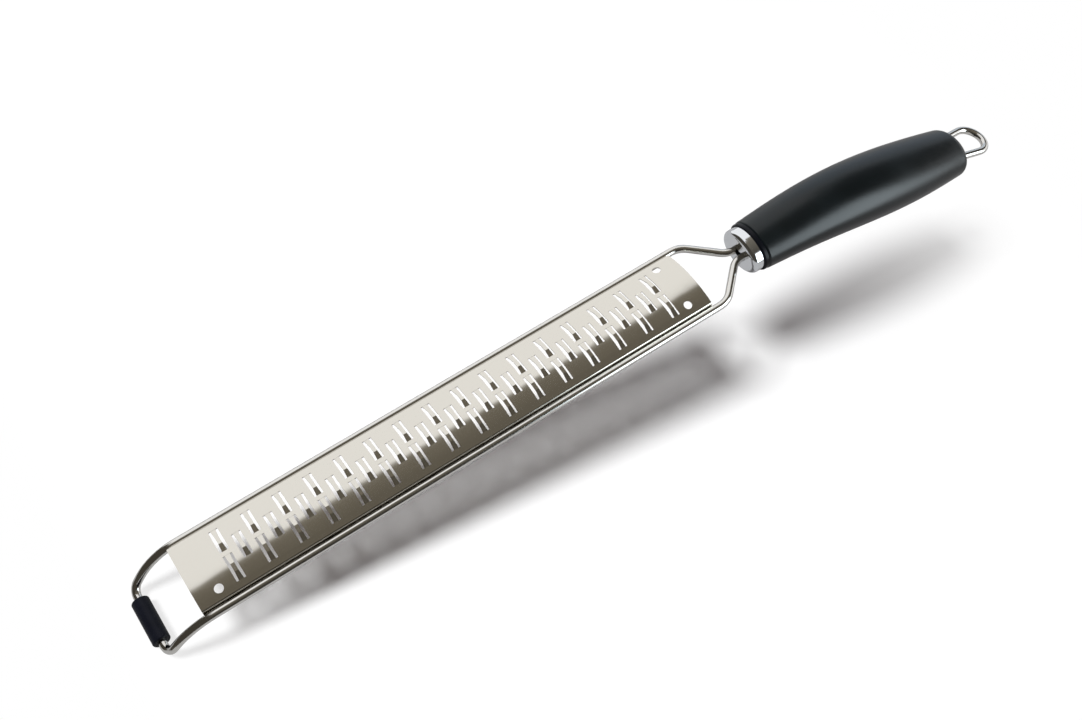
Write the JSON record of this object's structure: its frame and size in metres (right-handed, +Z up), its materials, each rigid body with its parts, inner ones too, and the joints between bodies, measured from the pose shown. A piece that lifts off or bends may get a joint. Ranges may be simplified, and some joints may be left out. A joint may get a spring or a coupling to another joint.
{
  "type": "rasp zester",
  "caption": "Hand-held rasp zester: long arched steel blade with rows of raised slotted teeth on a bent wire frame, black sleeve on the foot bar, oval black grip and a wire hanging loop",
  "frame": {"origin": "under the middle of the whole tool, on the plane that it rests on", "axes": "X along the tool from the foot bar to the hanging loop, Y across the blade, Z up, with the teeth on the upper side"},
  "size_m": [0.4056, 0.0348, 0.0341],
  "materials": {
    "blade_steel": "bright rolled sheet",
    "rod_steel": "polished drawn wire",
    "ferrule_steel": "polished",
    "core_plastic": "gloss",
    "grip_rubber": "satin",
    "sleeve_rubber": "smooth"
  },
  "bodies": {
    "root": {"blade": "blade_steel", "wire_frame": "rod_steel", "weld_beads": "rod_steel", "foot_sleeve": "sleeve_rubber", "ferrule": "ferrule_steel", "handle_core": "core_plastic", "grip": "grip_rubber", "hanging_loop": "rod_steel"}
  },
  "joints": []
}
